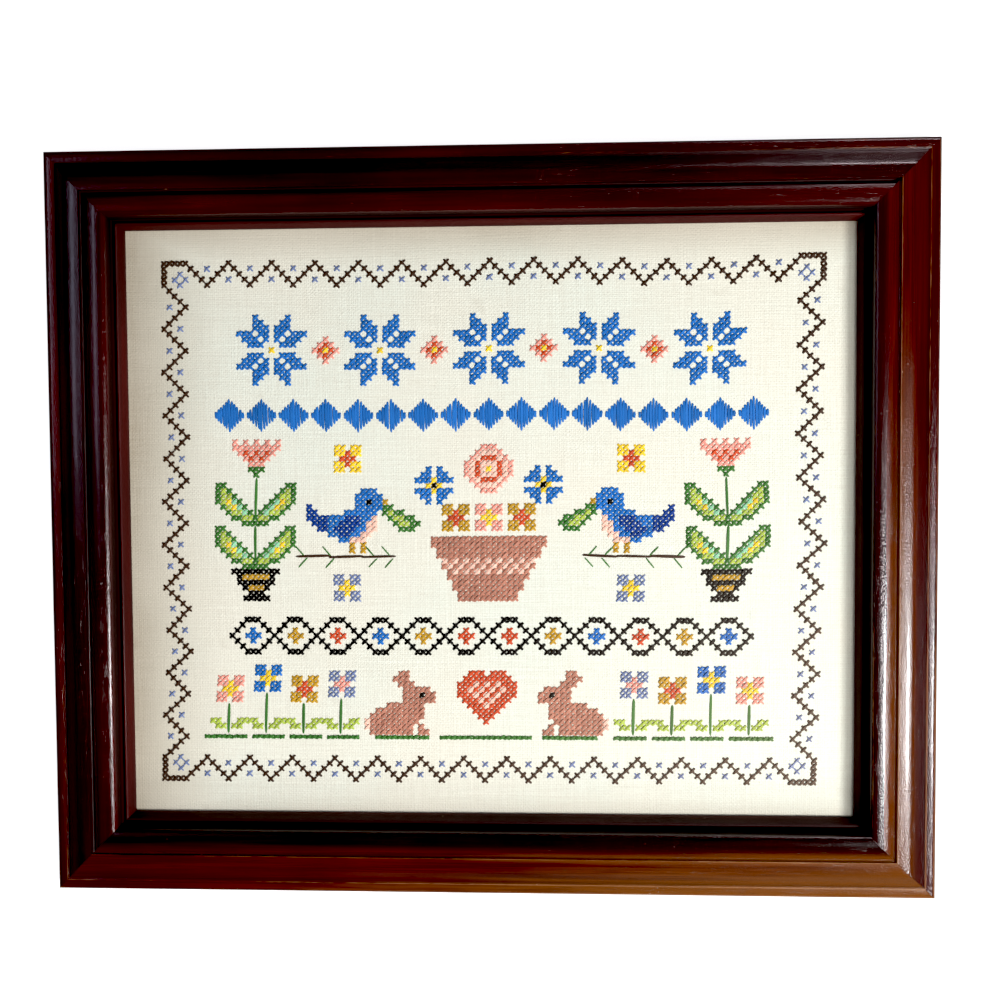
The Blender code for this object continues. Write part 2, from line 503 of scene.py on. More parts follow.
# Near black: painted shade on the shadowed parts, and dirt with painted shade in the grooves
SHADE_AND_DIRT_BLACK = (0.003, 0.0012, 0.0010, 1)
BARE_EDGE = (0.34, 0.150, 0.055, 1)
NICK_PALE = (0.55, 0.36, 0.25, 1)


def lit_and_faded_corner(tree, spot):
    """-1 at the upper left of the picture, 0 in its middle, 1 at the lower right."""
    parts = add_node(tree, "ShaderNodeSeparateXYZ", Vector=spot)
    right = math_node(tree, "DIVIDE", parts.outputs["X"], FRAME_WIDTH)
    down = math_node(tree, "DIVIDE", parts.outputs["Y"], -FRAME_HEIGHT)
    return math_node(tree, "ADD", right, down)


def stain_colour(tree, masks, grain, cloud, corner):
    """Red and dark streaks, faded in the sun and lightened there by painted window light, blackened by
    painted shade where the rail is in shadow, with dirt and painted shade in the grooves.
    """
    streaky_corner = times_plus(tree, grain["Figure"], 0.20, corner)
    sunned_and_lit = times_plus(tree, masks["sun reach"], 0.55, streaky_corner)
    fade_and_light = times(tree, remap(tree, sunned_and_lit, 0.64, 1.25), masks["fading"])
    stain = mix_colour(tree, times_plus(tree, grain["Figure"], 0.5, 0.5), STAIN_DARK, STAIN_RED)
    return layered(tree, stain, (cloud, 0.45, STAIN_DARK), (fade_and_light, 0.85, FADED_AND_LIT_STAIN),
                   (grain["Pore"], 0.5, STAIN_DARK), (masks["soot"], 1.0, SHADE_AND_DIRT_BLACK),
                   (masks["groove"], 0.95, SHADE_AND_DIRT_BLACK))


def make_mahogany():
    material, tree, shader, spot = new_material("worn_mahogany")
    grain_map = add_node(tree, "ShaderNodeUVMap", {"uv_map": "grain"}).outputs[0]
    masks = {name: add_node(tree, "ShaderNodeAttribute", {"attribute_name": name}).outputs["Fac"]
             for name in ("edge", "groove", "polish", "sun reach", "fading", "soot")}
    grain = use_group(tree, GRAIN, Vector=grain_map, Streaks=1.0, Pores=0.6)
    cloud = use_group(tree, MOTTLE, Vector=spot, Scale=14.0)["Cloud"]
    corner = lit_and_faded_corner(tree, spot)
    stain = stain_colour(tree, masks, grain, cloud, corner)
    amount = times_plus(tree, corner, 0.42, 0.56, clamp=True)
    wear = use_group(tree, WEAR, Vector=grain_map, Edge=masks["edge"], Amount=amount)
    colour = layered(tree, stain, (wear["Rubbed"], 0.5, BARE_EDGE), (wear["Nicked"], 0.75, NICK_PALE))
    dull = math_node(tree, "SUBTRACT", 1.0, masks["polish"])
    dull = times_plus(tree, masks["groove"], 1.0, dull)
    dull = times_plus(tree, wear["Rubbed"], 0.3, dull, clamp=True)
    rough = times_plus(tree, dull, 0.78, times_plus(tree, cloud, 0.04, 0.12))
    coat = times(tree, math_node(tree, "SUBTRACT", 1.0, dull), 0.25)
    fibres = noise_at(tree, grain_map, 1500, (0.55, 1, 1), 3.0)
    height = times_plus(tree, grain["Height"], 0.35, fibres)
    height = math_node(tree, "SUBTRACT", height, times(tree, wear["Nicked"], 1.2))
    set_inputs(tree, shader, Base_Color=colour, Roughness=rough, Specular_IOR_Level=0.62,
               Coat_Weight=coat, Coat_Roughness=0.10, Normal=bump_from(tree, height, 0.9, 0.00024))
    return material


MAHOGANY = make_mahogany()
print("material:", MAHOGANY.name)

# %% [markdown]
# The four rails replace the plain ones of the solid model, each in the same place.

# %% Make the four rails
for quarters, side in enumerate(("bottom", "right", "top", "left")):
    length, across = (FRAME_HEIGHT, FRAME_WIDTH) if quarters % 2 else (FRAME_WIDTH, FRAME_HEIGHT)
    rail = sweep_rail(side, length, quarters, across / 2)
    rail.data.materials.append(MAHOGANY)
    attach(rail, "root")
    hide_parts(f"{side}_rail")
    print(rail.name, len(rail.data.polygons), "faces")

# %% [markdown]
# ## The cloth
# The linen was pulled over the board by hand, so it isn't perfectly even: it rises and falls
# by a tenth of a millimetre or so. The same height function places the stitches on it.

# %% Stretch the cloth over the board
CLOTH_STEP = 2.6 * MM
CLOTH_SWELL = 0.12 * MM
FLAT_MARGIN = 9 * MM
CLOTH_CREASE = radians(50)


def cloth_height(x, y):
    """Height of the cloth's face, in metres, at a place on it."""
    swell = noise.noise(Vector((x / (38 * MM), y / (46 * MM), 3.0)))
    ripple = noise.noise(Vector((x / (13 * MM), y / (17 * MM), 8.0)))
    edge = min(1.0, max(0.0, min(OPENING_HALF_X - abs(x), OPENING_HALF_Y - abs(y)) / FLAT_MARGIN))
    return CLOTH_TOP - CLOTH_SWELL + edge * CLOTH_SWELL * (1.2 * swell + 0.35 * ripple)


def make_cloth_mesh():
    columns = ceil((CLOTH_HIGH.x - CLOTH_LOW.x) / CLOTH_STEP) + 1
    rows = ceil((CLOTH_HIGH.y - CLOTH_LOW.y) / CLOTH_STEP) + 1
    xs = np.linspace(CLOTH_LOW.x, CLOTH_HIGH.x, columns)
    ys = np.linspace(CLOTH_LOW.y, CLOTH_HIGH.y, rows)
    top = [(x, y, cloth_height(x, y)) for y in ys for x in xs]
    bottom = [(x, y, CLOTH_LOW.z) for x, y, _ in top]
    count = len(top)
    faces = []
    for row in range(rows - 1):
        for column in range(columns - 1):
            a = row * columns + column
            faces.append((a, a + 1, a + columns + 1, a + columns))
            faces.append((a + count, a + columns + count, a + columns + 1 + count, a + 1 + count))
    rim = [*range(columns), *range(2 * columns - 1, count, columns)]
    rim += [*range(count - 2, count - columns - 1, -1), *range(count - 2 * columns, 0, -columns)]
    for i, here in enumerate(rim):
        before = rim[i - 1]
        faces.append((here, before, before + count, here + count))
    mesh = bpy.data.meshes.new("linen_cloth")
    mesh.from_pydata(top + bottom, [], faces)
    return mesh


CLOTH = link_piece("linen_cloth", make_cloth_mesh(), CLOTH_CREASE)
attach(CLOTH, "root")
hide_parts("cloth")

# %% [markdown]
# Linen in plain weave, about 11 yarns to the centimetre, aged to ivory. It is darker in a
# band beside the frame, most on the left and at the top: dingy there, and with painted shade
# from the frame. A few faint specks sit on it.

# %% The linen finish
LINEN_IVORY = (0.855, 0.835, 0.715, 1)
LINEN_COOL = (0.81, 0.845, 0.74, 1)
LINEN_DINGY_AND_SHADED = (0.40, 0.32, 0.225, 1)
YARN_DARK = (0.66, 0.61, 0.50, 1)
HOLE_SHADE = (0.46, 0.42, 0.33, 1)
SPECK_BROWN = (0.35, 0.28, 0.2, 1)
YARNS_PER_METRE = 1080.0
# Axis, half the opening, side of the picture, how far in the dirt and painted shade reach, strength
SOILED_AND_SHADED = (("X", OPENING_HALF_X, -1, 0.052, 1.0), ("X", OPENING_HALF_X, 1, 0.010, 0.5),
          ("Y", OPENING_HALF_Y, 1, 0.022, 1.0), ("Y", OPENING_HALF_Y, -1, 0.012, 0.5))
UNDER_THE_LIP = 0.004


def edge_soil_and_shade(tree, spot):
    """1 in the band of dirt and painted shade beside the frame, 0 in the field."""
    parts = add_node(tree, "ShaderNodeSeparateXYZ", Vector=spot)
    soil_and_shade = 0.0
    for axis, half, sign, reach, strength in SOILED_AND_SHADED:
        outwards = times(tree, parts.outputs[axis], sign)
        band = times(tree, remap(tree, outwards, half - reach, half + UNDER_THE_LIP), strength)
        soil_and_shade = math_node(tree, "MAXIMUM", soil_and_shade, band)
    return soil_and_shade


def make_linen():
    material, tree, shader, spot = new_material("aged_linen")
    weave = use_group(tree, WEAVE, Vector=spot, Threads_per_metre=YARNS_PER_METRE, Unevenness=0.6)
    mottle = use_group(tree, MOTTLE, Vector=spot, Scale=11.0)
    # The band beside the frame: dirt and painted shade
    soil_and_shade = times(tree, edge_soil_and_shade(tree, spot), times_plus(tree, mottle["Cloud"], 0.3, 0.6))
    thin = times_plus(tree, weave["Slub"], -0.55, 0.50, clamp=True)
    colour = mix_colour(tree, mottle["Cloud"], LINEN_IVORY, LINEN_COOL)
    colour = layered(tree, colour, (soil_and_shade, 1.0, LINEN_DINGY_AND_SHADED), (thin, 1.0, YARN_DARK),
                     (weave["Hole"], 0.35, HOLE_SHADE), (mottle["Speck"], 0.10, SPECK_BROWN))
    set_inputs(tree, shader, Base_Color=colour, Roughness=0.85, Sheen_Weight=0.15,
               Specular_IOR_Level=0.2, Normal=bump_from(tree, weave["Height"], 0.7, 0.00016))
    return material


CLOTH.data.materials.append(make_linen())
print("material:", CLOTH.data.materials[0].name)

# %% [markdown]
# The board behind keeps its solid. It is pressed board: brown fibres with no direction.

# %% The backing board's finish
BOARD_DARK = (0.13, 0.070, 0.032, 1)
BOARD_LIGHT = (0.34, 0.21, 0.11, 1)
BOARD_CLOUD = (0.19, 0.11, 0.05, 1)


def make_pressed_board():
    material, tree, shader, spot = new_material("pressed_board")
    fibres = noise_at(tree, spot, 900, detail=5.0, distortion=1.5)
    cloud = use_group(tree, MOTTLE, Vector=spot, Scale=25.0)["Cloud"]
    colour = layered(tree, mix_colour(tree, fibres, BOARD_DARK, BOARD_LIGHT), (cloud, 0.3, BOARD_CLOUD))
    set_inputs(tree, shader, Base_Color=colour, Roughness=0.82, Normal=bump_from(tree, fibres, 0.4, 0.0002))
    return material


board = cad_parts["backing_board"]
board.data.materials.clear()
board.data.materials.append(make_pressed_board())
print("material:", board.data.materials[0].name)

# %% [markdown]
# ## The stitches
# Counted thread work is planned on squared paper: one square, one cross. The cells are a
# tenth of an inch. The stitcher's cloth had slipped a little in the frame, so the whole
# design leans: a row is moved sideways a little more the lower it lies. Lacing the cloth over
# the board pulled it unevenly too, so the border bends by a millimetre or three in places.

# %% Lay out the squared paper
COLUMNS, ROWS = 121, 97
CELL_X, CELL_Y = 2.550 * MM, 2.540 * MM
LEAN = 0.016
TILT = -0.0014
DESIGN_CENTRE = (-0.3 * MM, 0.3 * MM)
# Side, middle of the bow along it and its reach in millimetres, and its depth
PULLS = (
    ("left", -58, 24, 2.4 * MM),
    ("left", 36, 20, 0.8 * MM),
    ("right", -8, 28, 3.0 * MM),
    ("right", -75, 34, 1.0 * MM),
    ("top", 88, 42, 1.9 * MM),
    ("top", -40, 50, 1.0 * MM),
)


def cloth_pull(x, y):
    """How far the uneven lacing moved a place on the cloth, in metres, as x and y."""
    across, down = x / (COLUMNS * CELL_X) + 0.5, 0.5 - y / (ROWS * CELL_Y)
    move_x = move_y = 0.0
    for side, at, reach, amount in PULLS:
        if side == "top":
            move_y -= amount * (1 - down) * exp(-((x / MM - at) / reach) ** 2)
        else:
            share = across if side == "right" else 1 - across
            move_x += amount * share * share * exp(-((y / MM - at) / reach) ** 2)
    return move_x, move_y


def cell_place(column, row):
    """Centre of a cell on the cloth, in metres. Columns run right, rows run down."""
    x = (column - (COLUMNS - 1) / 2) * CELL_X
    y = -(row - (ROWS - 1) / 2) * CELL_Y
    move_x, move_y = cloth_pull(x, y)
    return DESIGN_CENTRE[0] + x + LEAN * y + move_x, DESIGN_CENTRE[1] + y - TILT * x + move_y


print("squared paper:", COLUMNS, "by", ROWS, "cells")

# %% [markdown]
# A chart maps each cell to a thread. Motifs are small charts drawn in letters, one letter to
# a cross, or rules that work the cells out. The sampler is mirrored about its middle column,
# as traditional ones are, so each motif is drawn with its reflection. One that stands in the
# middle is symmetric, and falls on itself.

# %% The chart and its helpers
# Letter in the charts: name of the thread, how full it is, and its colour on a screen
THREADS = {
    "n": ("brown", 1.16, (66, 46, 34)), "l": ("lilac", 0.84, (118, 132, 172)),
    "b": ("cornflower", 1.22, (46, 112, 188)), "v": ("navy", 1.2, (34, 66, 140)),
    "g": ("leaf", 1.12, (66, 118, 54)), "s": ("spring", 1.1, (176, 196, 84)),
    "m": ("mint", 1.15, (150, 212, 170)), "r": ("brick", 1.12, (206, 84, 52)),
    "t": ("rose", 1.32, (186, 128, 108)), "u": ("mustard", 1.12, (196, 152, 52)),
    "p": ("pink", 0.98, (240, 160, 144)), "q": ("blush", 1.1, (248, 200, 180)),
    "y": ("yellow", 1.12, (246, 208, 60)), "k": ("black", 1.25, (24, 22, 20)),
}
MIDDLE = (COLUMNS - 1) // 2
crosses = {}
straights = []
ground = []


def put_pair(column, row, letter):
    """A cross and its mirror image. On the middle column the two are one."""
    crosses[(column, row)] = letter
    crosses[(2 * MIDDLE - column, row)] = letter


def place(motif, column, row):
    """Draws a lettered chart with its top left cell there, and its mirror image."""
    for down, line in enumerate(motif.split()):
        for right, letter in enumerate(line):
            if letter != ".":
                put_pair(column + right, row + down, letter)


def straight(letter, start, end, width):
    """One long straight stitch between two places in cells."""
    straights.append((letter, start, end, width))


def straight_pair(letter, start, end, width):
    straight(letter, start, end, width)
    straight(letter, (2 * MIDDLE - start[0], start[1]), (2 * MIDDLE - end[0], end[1]), width)


print("threads:", len(THREADS))

# %% [markdown]
# The border is a common one: a zigzag of dark brown that turns each corner in an L, with a
# single lilac cross in every bay and a diamond of four in each corner. One quarter of it is a
# rule, and the rest is its reflection in both middle lines.

# %% Work the border
ZIGZAG = 4
PERIOD = 2 * ZIGZAG


def put_four(column, row, letter):
    for mirrored_row in (row, ROWS - 1 - row):
        put_pair(column, mirrored_row, letter)


def work_border_side(length, place_cell):
    """One half of one side. place_cell(along, inward, letter) sets a cell and its mirrors."""
    for along in range(ZIGZAG + 1):
        place_cell(along, 0, "n")
    for along in range(ZIGZAG, length // 2 + 1):
        inward = ZIGZAG - abs((along - ZIGZAG) % PERIOD - ZIGZAG)
        place_cell(along, inward, "n")
        if inward == ZIGZAG:
            place_cell(along, 1, "l")
        if inward == 0 and along > ZIGZAG:
            place_cell(along, ZIGZAG - 1, "l")


work_border_side(COLUMNS, put_four)
work_border_side(ROWS, lambda along, inward, letter: put_four(inward, along, letter))
for column, row in ((3, 2), (2, 3), (4, 3), (3, 4)):
    put_four(column, row, "l")
print("crosses in the border:", len(crosses))

# %% [markdown]
# The top of the sampler holds a row of eight-pointed stars, a motif that whole regions of
# knitters and stitchers share, with small diamonds between them. Under it runs a band of
# satin stitch: upright threads laid side by side, longest in the middle of each lozenge.

# %% Stars, diamonds and the satin band
STAR = """
...b.....b...
...bb...bb...
...bbb.bbb...
bbb.bb.bb.bbb
.bbb.b.b.bbb.
..bbb...bbb..
......y......
..bbb...bbb..
.bbb.b.b.bbb.
bbb.bb.bb.bbb
...bbb.bbb...
...bb...bb...
...b.....b...
"""
DIAMOND = """
..p..
.prp.
pryrp
.prp.
..p..
"""
STAR_ROW, STAR_SPACING = 10, 20
for step in range(3):
    place(STAR, MIDDLE - 6 - step * STAR_SPACING, STAR_ROW)
for step in range(2):
    place(DIAMOND, MIDDLE - 12 - step * STAR_SPACING, STAR_ROW + 4)

SATIN_ROW, LOZENGE = 28.0, 6
for lozenge in range(-8, 9):
    for half_step in range(-5, 6):
        offset = half_step / 2
        reach = LOZENGE / 2 - abs(offset) + 0.1
        column = MIDDLE + lozenge * LOZENGE + offset
        straight("b", (column, SATIN_ROW - reach), (column, SATIN_ROW + reach), 1.34)
print("crosses:", len(crosses), "straight stitches:", len(straights))

# %% [markdown]
# The middle of a band sampler carries its largest motif, here a basket of flowers. The basket
# is worked solid with a chequered belt, and narrows by a cell on both sides every second row.

# %% The basket of flowers
ROSE = """
...ppp...
..pqqqp..
.pqrrrqp.
pqrqqqrqp
pqrqyqrqp
pqrqqqrqp
.pqrrrqp.
..pqqqp..
...ppp...
"""
DAISY = """
..b.b..
.bb.bb.
bbbybbb
..yky..
bbbybbb
.bb.bb.
..b.b..
"""
LEAVES = """
gg.....
gsgg...
.gssgg.
..gssgg
...ggg.
"""
BASKET_ROW, BASKET_ROWS = 51, 12


def four_petals(column, row, petal, eye):
    """A common five by five flower: four petals round a plus."""
    for across in range(-2, 3):
        for down in range(-2, 3):
            if abs(across) + abs(down) < 2:
                put_pair(column + across, row + down, eye)
            elif across and down:
                put_pair(column + across, row + down, petal)


place(ROSE, MIDDLE - 4, 34)
place(DAISY, MIDDLE - 13, 38)
place(LEAVES, MIDDLE - 19, 45)
four_petals(MIDDLE - 6, 47, "u", "r")
four_petals(MIDDLE, 47, "p", "y")
for row in range(BASKET_ROWS):
    half = 10 - row // 2 if row > 1 else 10
    for across in range(half + 1):
        chequered = 4 <= row <= 6 and (across + row) % 2 == 0
        put_pair(MIDDLE - across, BASKET_ROW + row, "q" if chequered else "t")
print("crosses:", len(crosses))

# %% [markdown]
# Birds that face each other, and tall flowers in urns, are as old as samplers are. Thin stems
# and twigs aren't crosses: each one is a few long straight stitches.

# %% Birds, urns and tall flowers
BIRD = """
..........bbb..
.........bbbbb.
.........bbkbbu
v........bbbbb.
vv.....bbbbbb..
vvvvbbbvvvbbq..
.vvvbbvvvvbqq..
..vvbvvvvbbqq..
....bbvvbbqq...
......bbqqq....
........u.u....
........u.u....
"""
CARNATION = """
p.p.p.p.p
ppppppppp
.prprprp.
..prprp..
...ppp...
...ggg...
....g....
"""
LEAF_PAIR = """
gg...........gg
gsg.........gsg
gssg.......gssg
gsymg.....gmysg
.gsymg...gmysg.
..gssmg.gmssg..
...ggssgssgg...
.....ggggg.....
"""
URN = """
kkkkkkkkk
.kuuuuuk.
.kkkkkkk.
..kuuuk..
...kkk...
..kkkkk..
"""
place(CARNATION, 13, 33)
place(LEAF_PAIR, 10, 41)
place(LEAF_PAIR, 10, 49)
place(URN, 13, 57)
straight_pair("g", (17.0, 39.5), (17.0, 47.0), 1.3)
straight_pair("g", (17.0, 48.4), (17.0, 55.0), 1.3)
place(BIRD, 27, 42)
for end in (24.5, 30.5, 36.5):
    straight_pair("n", (end, 54.2), (end + 6.6, 54.0), 1.25)
for twig in (26.0, 31.0, 39.0, 42.0):
    straight_pair("g", (twig, 54.0), (twig - 1.6, 52.2), 0.7)
    straight_pair("g", (twig + 0.6, 54.4), (twig - 1.0, 56.2), 0.7)
four_petals(34, 36, "y", "r")
four_petals(34, 60, "l", "y")
print("crosses:", len(crosses))

# %% [markdown]
# A chain of six sided links closes the middle field. Its links are a zigzag and its mirror
# image, cut flat at the top, with a small plus in each link that changes colour.

# %% The chain band
CHAIN_ROW, LINK = 69, 8
for column in range(12, MIDDLE + 1):
    from_knot = min((MIDDLE - column) % LINK, LINK - (MIDDLE - column) % LINK)
    reach = min(from_knot, 3)
    put_pair(column, CHAIN_ROW - reach, "k")
    put_pair(column, CHAIN_ROW + reach, "k")
    if from_knot == LINK // 2:
        letter = "rub"[((MIDDLE - column) // LINK) % 3]
        for across, down in ((0, 0), (1, 0), (-1, 0), (0, 1), (0, -1)):
            put_pair(column + across, CHAIN_ROW + down, letter)
print("crosses:", len(crosses))

# %% [markdown]
# At the foot of the sampler the ground is a broken line of low, flattened green crosses.
# Flowers, rabbits and a heart stand on it.

# %% Flowers, rabbits and a heart
RABBIT = """
......tt.....
.....ttt.....
......ttt....
.......ttttt.
.......tttktt
.......tttttt
....ttttttt..
..ttttttttt..
.tttttttttt..
qttttttttt...
qtttttttt.t..
.tttttttt.tt.
"""
HEART = """
..rrr.rrr..
.rrrrrrrrr.
rrrqrqrqrrr
rrqrqrqrqrr
rrrqrqrqrrr
.rrrqrqrrr.
..rrrqrrr..
...rrrrr...
....rrr....
.....r.....
"""
GROUND_ROW = 88
place(HEART, MIDDLE - 5, 76)
place(RABBIT, 38, GROUND_ROW - 12)
GROUND_SQUASH = 0.55
FLOWERS = ((12, 79, "p", "y"), (19, 77, "b", "y"), (26, 79, "u", "r"), (33, 78, "l", "p"))
for column, top, petal, eye in FLOWERS:
    four_petals(column, top, petal, eye)
    straight_pair("g", (column, top + 2.6), (column, GROUND_ROW - 0.6), 1.35)
    for side in (-1, 1):
        for across, up in ((1, 2), (2, 3), (3, 3), (2, 2)):
            put_pair(column + side * across, GROUND_ROW - up, "s")
for first, last in ((8, 15), (17, 22), (24, 29), (31, 36), (40, 49), (52, MIDDLE)):
    for column in range(first, last + 1):
        ground += [(column, GROUND_ROW)] + [(2 * MIDDLE - column, GROUND_ROW)] * (column < MIDDLE)
print("crosses:", len(crosses), "straight stitches:", len(straights))

# %% [markdown]
# A cross is two legs. The first slants one way, the second crosses over it, and in careful
# work all the top legs slant alike. Each leg is a soft double strand: a peanut shaped section
# swept from hole to hole, thin where it dives into the cloth. No two are pulled quite alike,
# so each leg gets its own small slips in place, width, roll and shade.

# %% Work out the legs of the stitches
STRAND_WIDTH = 1.0 * MM
STRAND_HEIGHT = 0.44 * MM
LEG_REACH = 0.535
LOWER_LIFT, STRAIGHT_LIFT, UPPER_LIFT = 0.16 * MM, 0.20 * MM, 0.46 * MM
CROSS_SLIP, STRAIGHT_SLIP = 0.035, 0.04
SHAKE = random.Random(7)


def cross_legs(column, row, ply, squash=1.0):
    """The two legs of a cross as (start, end, width, height over the cloth at the middle)."""
    legs = []
    for slant, lift in ((1, LOWER_LIFT), (-1, UPPER_LIFT)):
        ends = []
        for end in (-1, 1):
            slip_x, slip_y = SHAKE.gauss(0, CROSS_SLIP), SHAKE.gauss(0, CROSS_SLIP)
            down = end * slant * LEG_REACH * squash
            ends.append(cell_place(column + end * LEG_REACH + slip_x, row + down + slip_y))
        legs.append((*ends, ply * SHAKE.gauss(1.0, 0.08), lift))
    return legs


def straight_legs(start, end, width):
    slips = [SHAKE.gauss(0, STRAIGHT_SLIP) for _ in range(4)]
    first = cell_place(start[0] + slips[0], start[1] + slips[1])
    last = cell_place(end[0] + slips[2], end[1] + slips[3])
    return [(first, last, width * SHAKE.gauss(1.0, 0.06), STRAIGHT_LIFT)]


GROUND_PLY = 1.2
legs_by_letter = {letter: [] for letter in THREADS}
for (column, row), letter in sorted(crosses.items()):
    legs_by_letter[letter] += cross_legs(column, row, THREADS[letter][1])
for column, row in ground:
    legs_by_letter["g"] += cross_legs(column, row, GROUND_PLY, GROUND_SQUASH)
for letter, start, end, width in straights:
    legs_by_letter[letter] += straight_legs(start, end, width)
print("legs:", {THREADS[letter][0]: len(legs) for letter, legs in legs_by_letter.items()})

# %% [markdown]
# Thousands of legs are too many to build one at a time. numpy moves the same small section
# along all of them at once: the arrays run over legs, then stations along a leg, then points
# round the section.

# %% Sweep all the legs of one thread
STATIONS = np.array(((0.0, 0.45, -0.75), (0.07, 0.85, 0.45), (0.34, 1.0, 1.0),
                     (0.66, 1.0, 1.0), (0.93, 0.85, 0.45), (1.0, 0.45, -0.75)))
PEANUT = np.array(((0.0, -0.36), (0.34, -0.44), (0.50, -0.02), (0.36, 0.42), (0.17, 0.50),
                   (0.0, 0.30), (-0.17, 0.50), (-0.36, 0.42), (-0.50, -0.02), (-0.34, -0.44)))
DIP = 0.22 * MM


def leg_points(legs, rng):
    """Points of every leg, as an array of legs x stations x section points x 3."""
    count = len(legs)
    starts, ends, widths, lifts = [np.array(values) for values in zip(*legs)]
    lifts = lifts * rng.normal(1.0, 0.10, count)
    share, narrow, rise = STATIONS.T
    run = ends - starts
    direction = run / np.linalg.norm(run, axis=1, keepdims=True)
    side = np.stack((-direction[:, 1], direction[:, 0]), axis=1)
    bow = rng.normal(0, 0.035 * MM, count)[:, None] * np.sin(pi * share)
    centre = starts[:, None] + run[:, None] * share[None, :, None] + side[:, None] * bow[..., None]
    under = np.array([[cloth_height(x, y) for x, y in leg] for leg in centre])
    height = under + np.where(rise > 0, lifts[:, None] * rise, DIP * rise)
    roll, twist = rng.normal(0, 0.10, count), rng.normal(0.25, 0.12, count)
    roll = roll[:, None] + twist[:, None] * (share - 0.5)
    across = PEANUT[:, 0] * STRAND_WIDTH * (widths[:, None] * narrow)[..., None]
    up = PEANUT[:, 1] * STRAND_HEIGHT * (0.6 + 0.4 * narrow)[None, :, None]
    turned = across * np.cos(roll)[..., None] - up * np.sin(roll)[..., None]
    raised = across * np.sin(roll)[..., None] + up * np.cos(roll)[..., None]
    flat = centre[:, :, None] + side[:, None, None] * turned[..., None]
    return np.concatenate((flat, (height[..., None] + raised)[..., None]), axis=3)


def thread_mesh(name, legs, rng):
    points = leg_points(legs, rng)
    count, stations, ring, _ = points.shape
    first = np.arange(count)[:, None, None] * stations * ring
    rings = first + np.arange(stations - 1)[:, None] * ring
    here, after = rings + np.arange(ring), rings + (np.arange(ring) + 1) % ring
    sides = np.stack((here, after, after + ring, here + ring), axis=-1).reshape(-1, 4)
    start_caps = first[:, 0] + np.arange(ring)[::-1]
    end_caps = first[:, 0] + (stations - 1) * ring + np.arange(ring)
    mesh = bpy.data.meshes.new(name)
    mesh.from_pydata(points.reshape(-1, 3), [], sides.tolist() + start_caps.tolist() + end_caps.tolist())
    add_thread_layers(mesh, points.shape, legs, rng)
    mesh.shade_smooth()
    return mesh


def add_thread_layers(mesh, shape, legs, rng):
    """UV: round the strand in X, along it in strand widths in Y. shade: one value to a leg."""
    count, stations, ring, _ = shape
    lengths = np.array([np.hypot(leg[1][0] - leg[0][0], leg[1][1] - leg[0][1]) for leg in legs])
    grid = np.zeros((count, stations, ring, 2))
    grid[..., 0] = np.arange(ring) / ring
    grid[..., 1] = (lengths[:, None] * STATIONS[:, 0] / STRAND_WIDTH)[..., None]
    grid[..., 1] += rng.uniform(0, 40, count)[:, None, None]
    corners = np.zeros(len(mesh.loops), dtype=np.int32)
    mesh.loops.foreach_get("vertex_index", corners)
    layer = mesh.uv_layers.new(name="strand")
    layer.data.foreach_set("uv", grid.reshape(-1, 2)[corners].ravel())
    shade = np.repeat(np.clip(rng.normal(0.5, 0.2, count), 0, 1), stations * ring)
    mesh.attributes.new("shade", "FLOAT", "POINT").data.foreach_set("value", shade)


print("points to a leg:", len(STATIONS) * len(PEANUT))

# %% [markdown]
# Dyed cotton floss has a soft shine and fine lines of fibre along each strand. All the colours
# share one recipe, with their own dye. Legs differ a little in shade, and painted shade
# darkens each one between its fibres. The lower right of the picture is lighter: the sun has
# bleached it a little, and painted light from the window lightens it too.

# %% Dye the threads
SUN_BLEACHED_AND_LIT = (0.55, 0.42, 0.32, 1)


def linear(colour, gain):
    """A screen colour of 0 to 255 as the light that the shader works with."""
    shares = [gain * channel / 255 for channel in colour]
    return (*[c / 12.92 if c < 0.04045 else ((c + 0.055) / 1.055) ** 2.4 for c in shares], 1.0)


def make_thread_material(name, dye):
    material, tree, shader, spot = new_material(f"thread_{name}")
    strand = add_node(tree, "ShaderNodeUVMap", {"uv_map": "strand"}).outputs[0]
    shade = add_node(tree, "ShaderNodeAttribute", {"attribute_name": "shade"}).outputs["Fac"]
    fibres = use_group(tree, FIBRES, Vector=strand, Twist=0.7)
    cloud = use_group(tree, MOTTLE, Vector=spot, Scale=60.0)["Cloud"]
    depth = times_plus(tree, fibres["Shade"], 0.40, times(tree, shade, 0.45))
    depth = times_plus(tree, cloud, 0.15, depth)
    colour = mix_colour(tree, depth, linear(dye, 0.74), linear(dye, 1.16))
    # Sun bleaching and painted window light on the lower right
    bleached_and_lit = remap(tree, lit_and_faded_corner(tree, spot), 0.1, 0.85, 0.0, 0.22)
    colour = mix_colour(tree, bleached_and_lit, colour, SUN_BLEACHED_AND_LIT)
    set_inputs(tree, shader, Base_Color=colour, Roughness=0.55, Specular_IOR_Level=0.30,
               Sheen_Weight=0.08, Normal=bump_from(tree, fibres["Height"], 0.5, 0.00006))
    return material


for number, (letter, legs) in enumerate(legs_by_letter.items()):
    name, _, dye = THREADS[letter]
    mesh = thread_mesh(f"stitches_{name}", legs, np.random.default_rng(number))
    stitches = link_piece(mesh.name, mesh)
    stitches.data.materials.append(make_thread_material(name, dye))
    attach(stitches, "root")
    print(stitches.name, len(legs), "legs")

# %% [markdown]
# ## The picture's surroundings
# A plain floor, wide enough that no edge of it shows from above. It is pale and glows for the
# camera alone, so it looks nearly white but doesn't shine up into the slopes of the lacquer.

# %% Lay the floor
FLOOR_REACH = 6.0


def grey(level):
    return (level, level, level, 1)


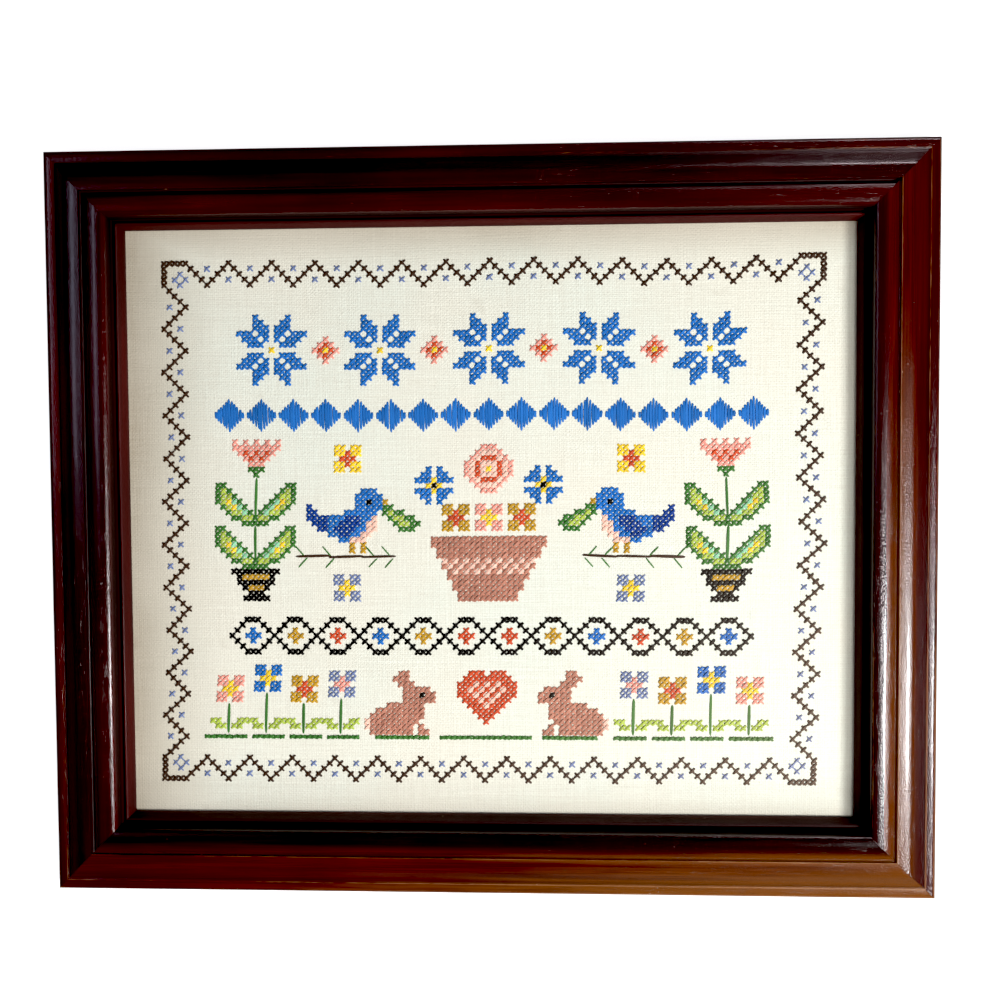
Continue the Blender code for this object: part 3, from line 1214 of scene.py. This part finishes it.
def make_floor():
    mesh = bpy.data.meshes.new("floor")
    corners = [(x * FLOOR_REACH, y * FLOOR_REACH, 0) for x, y in ((-1, -1), (1, -1), (1, 1), (-1, 1))]
    mesh.from_pydata(corners, [], [(0, 1, 2, 3)])
    material, tree, shader, spot = new_material("pale_floor")
    cloud = use_group(tree, MOTTLE, Vector=spot, Scale=2.0)["Cloud"]
    seen = add_node(tree, "ShaderNodeLightPath").outputs["Is Camera Ray"]
    pale = mix_colour(tree, cloud, grey(0.44), grey(0.46))
    set_inputs(tree, shader, Base_Color=mix_colour(tree, seen, grey(0.10), pale), Roughness=0.9,
               Emission_Color=mix_colour(tree, seen, grey(0.0), grey(1.0)), Emission_Strength=0.93,
               Specular_IOR_Level=0.1)
    mesh.materials.append(material)
    return link_piece("floor", mesh)


make_floor()
print("floor laid")

# %% [markdown]
# The light in a gloss finish is a picture of the lamp. A small window low on the right, with
# its curtain, gives the white streaks on the right moulding. A far door and a cool wall shine
# in the top and left ones. A ceiling and three low fills bring out the colours, but they are
# hidden from mirror rays, so they leave no grey veil on the lacquer. The black level is set a
# little up, as a phone camera does.

# %% Light it from a window on the right
def add_light(name, place_at, aim, size, watts, tint=(1, 1, 1), mirrored=True):
    """A rectangle that shines at aim. If it isn't mirrored, no gloss shows its picture."""
    lamp = bpy.data.lights.new(name, "AREA")
    lamp.shape = "RECTANGLE"
    lamp.size, lamp.size_y = size
    lamp.energy = watts
    lamp.color = tint
    light = link_piece(name, lamp)
    light.location = place_at
    light.rotation_euler = (Vector(aim) - Vector(place_at)).to_track_quat("-Z", "Y").to_euler()
    light.visible_glossy = mirrored


add_light("window", (0.80, -0.29, 0.96), (0.12, -0.20, 0.0), (0.17, 0.20), 12.0)
add_light("bright_curtain", (0.60, -0.34, 1.05), (0.12, -0.20, 0.0), (0.24, 0.36), 0.6)
add_light("far_door", (0.40, 1.20, 0.30), (0.18, 0.16, 0.0), (0.16, 0.16), 1.9, (1.0, 0.88, 0.93))
add_light("cool_wall", (-0.68, 0.20, 0.82), (-0.19, 0.10, 0.0), (0.42, 0.14), 0.9, (0.72, 0.78, 1.0))
add_light("soft_ceiling", (0.42, -0.30, 1.00), (0.05, -0.05, 0.0), (0.30, 0.30), 4.4, mirrored=False)
add_light("low_fill_right", (0.75, -0.75, 1.00), (0.0, 0.0, 0.0), (0.4, 0.4), 2.5, mirrored=False)
add_light("low_fill_left", (-1.00, -0.30, 0.80), (0.0, 0.0, 0.0), (0.5, 0.4), 1.6, mirrored=False)
add_light("low_fill_front", (0.15, -1.25, 0.75), (0.0, 0.0, 0.0), (0.5, 0.4), 5.0, mirrored=False)

world = bpy.data.worlds.new("room")
world.use_nodes = True
set_inputs(world.node_tree, world.node_tree.nodes["Background"], Color=grey(1.0), Strength=0.05)
bpy.context.scene.world = world
view = bpy.context.scene.view_settings
view.view_transform = "Standard"
view.use_curve_mapping = True
view.curve_mapping.black_level = (0.020, 0.020, 0.020)
view.curve_mapping.update()
print("lights placed")

# %% [markdown]
# The camera looks down at the face, a little from the upper right, as the photographer stood.

# %% Place the camera
camera_data = bpy.data.cameras.new("camera")
camera_data.sensor_width = 36.0
camera_data.lens = 54.0
camera = link_piece("camera", camera_data)
camera.location = (0.04695, 0.04866, 0.70484)
camera.rotation_euler = Euler((radians(-3.13), radians(3.366), radians(-0.365)))
bpy.context.scene.camera = camera
print("camera at", [round(v, 3) for v in camera.location])
